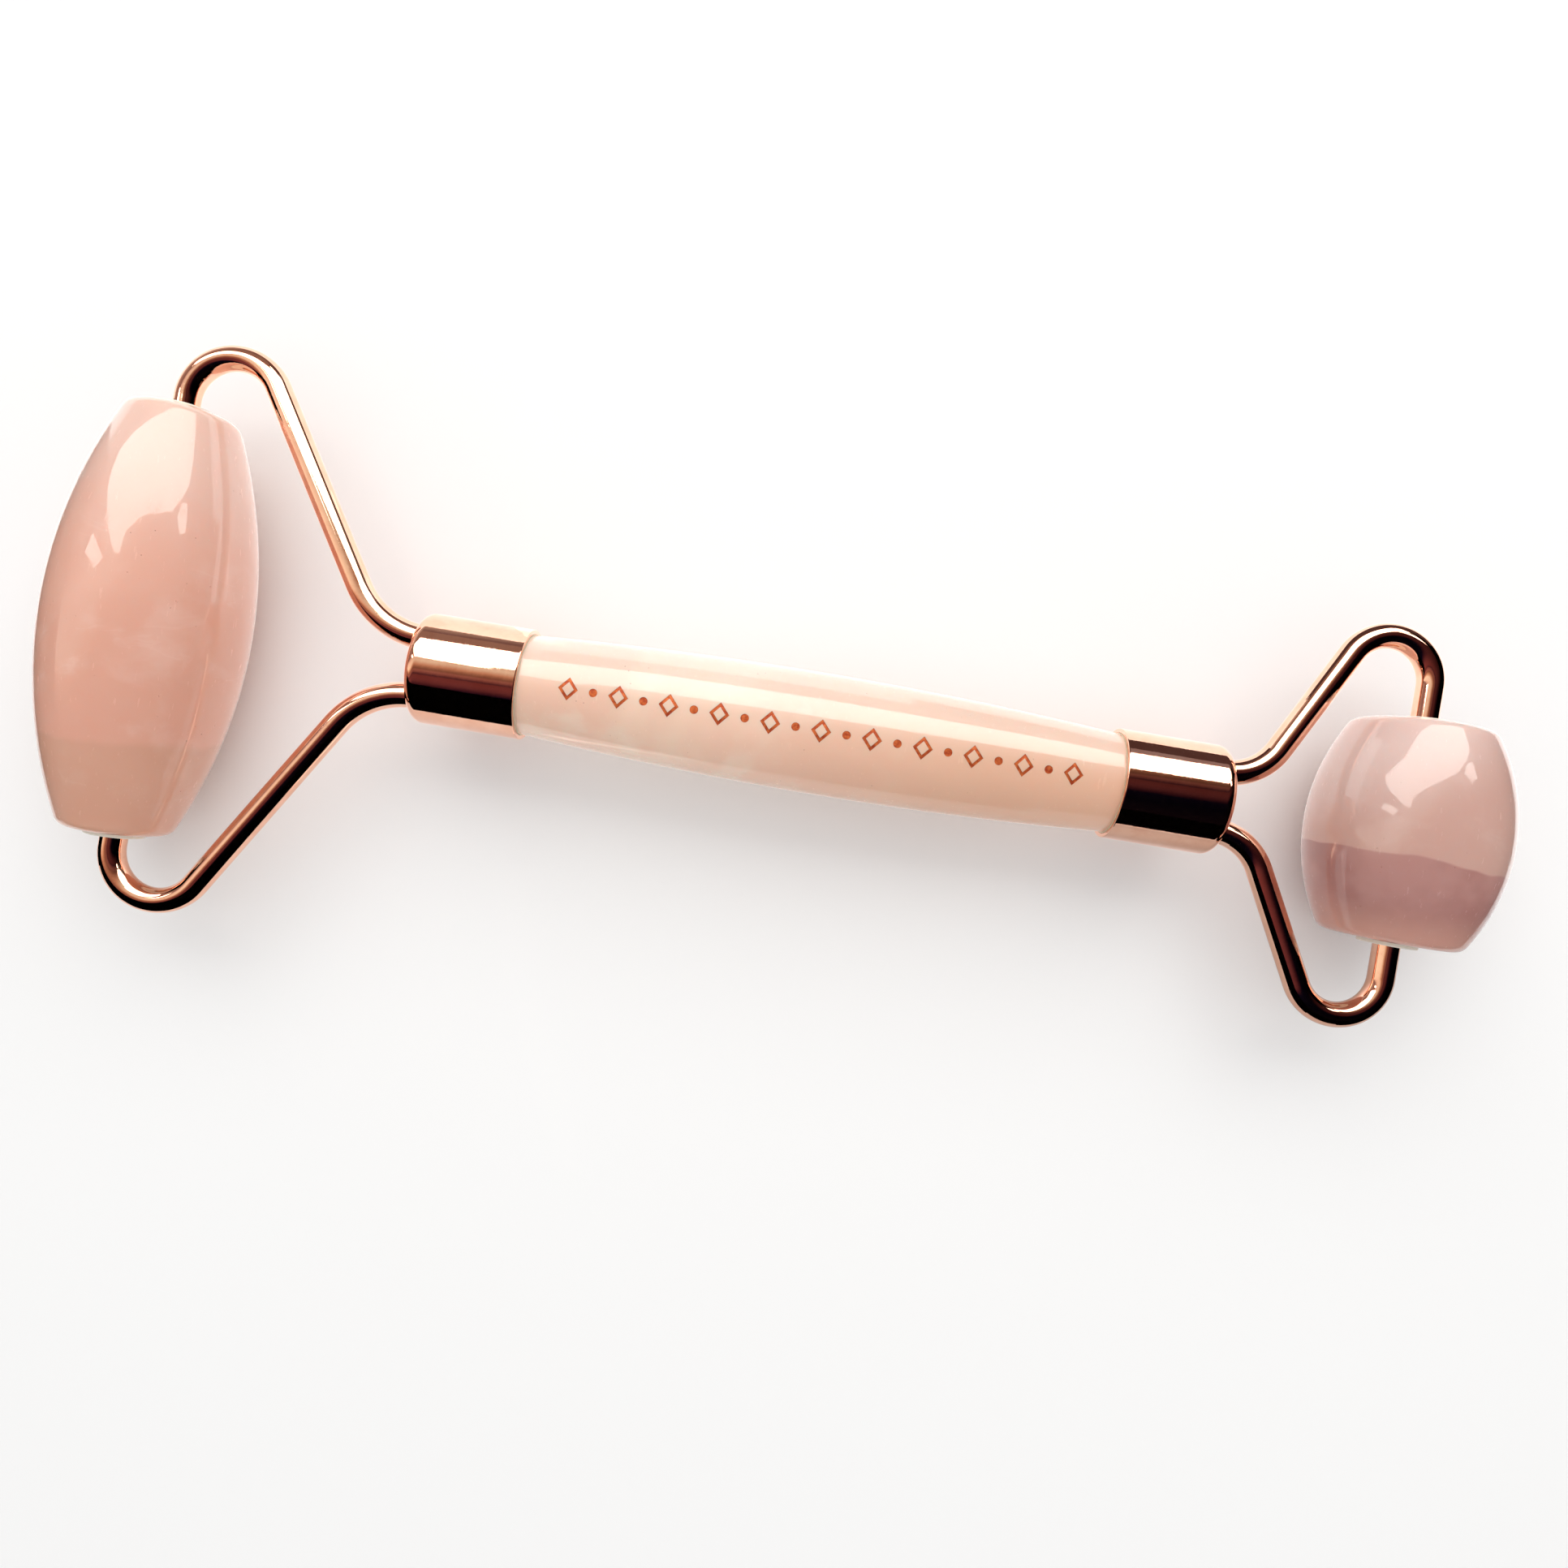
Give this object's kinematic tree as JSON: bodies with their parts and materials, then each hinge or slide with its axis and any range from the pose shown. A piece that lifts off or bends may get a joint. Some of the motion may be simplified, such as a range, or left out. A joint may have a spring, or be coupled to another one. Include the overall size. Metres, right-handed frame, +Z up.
{
  "type": "face roller",
  "caption": "Hand-held face roller: a large and a small barrel stone, each turning freely in a bent-wire yoke, at the two ends of a slim stone handle with metal ferrules.",
  "frame": {"origin": "under the middle of the whole length, on the surface that both stones rest on", "axes": "+X along the handle towards the small stone, +Y along both stones' axes, +Z up"},
  "size_m": [0.1436, 0.0564, 0.0182],
  "materials": {
    "quartz_handle": "polished rose quartz, pale",
    "quartz_large_roller": "polished rose quartz",
    "quartz_small_roller": "polished rose quartz, mauve at one end",
    "rose_gold_plate": "rose-gold plate, mirror polished",
    "rose_gold_wire": "rose-gold plated spring wire",
    "bushing_nylon": "natural nylon",
    "gilt_fill": "copper-coloured paint fill",
    "epoxy": "cured epoxy"
  },
  "bodies": {
    "handle_frame": {"handle_stone": "quartz_handle", "handle_gilt_ornament": "gilt_fill", "large_ferrule": "rose_gold_plate", "small_ferrule": "rose_gold_plate", "large_ferrule_adhesive": "epoxy", "small_ferrule_adhesive": "epoxy", "large_yoke_arm_left": "rose_gold_wire", "large_yoke_arm_right": "rose_gold_wire", "small_yoke_arm_left": "rose_gold_wire", "small_yoke_arm_right": "rose_gold_wire"},
    "large_roller": {"large_roller_stone": "quartz_large_roller", "large_bushing_left": "bushing_nylon", "large_bushing_right": "bushing_nylon"},
    "small_roller": {"small_roller_stone": "quartz_small_roller", "small_bushing_left": "bushing_nylon", "small_bushing_right": "bushing_nylon"}
  },
  "joints": [
    {"name": "large_roller_spin", "type": "hinge", "parent": "handle_frame", "child": "large_roller", "pos_m": [-0.06273, 0, 0.0091], "axis": [0, 1, 0], "continuous": true},
    {"name": "small_roller_spin", "type": "hinge", "parent": "handle_frame", "child": "small_roller", "pos_m": [0.06273, 0, 0.0091], "axis": [0, 1, 0], "continuous": true}
  ]
}
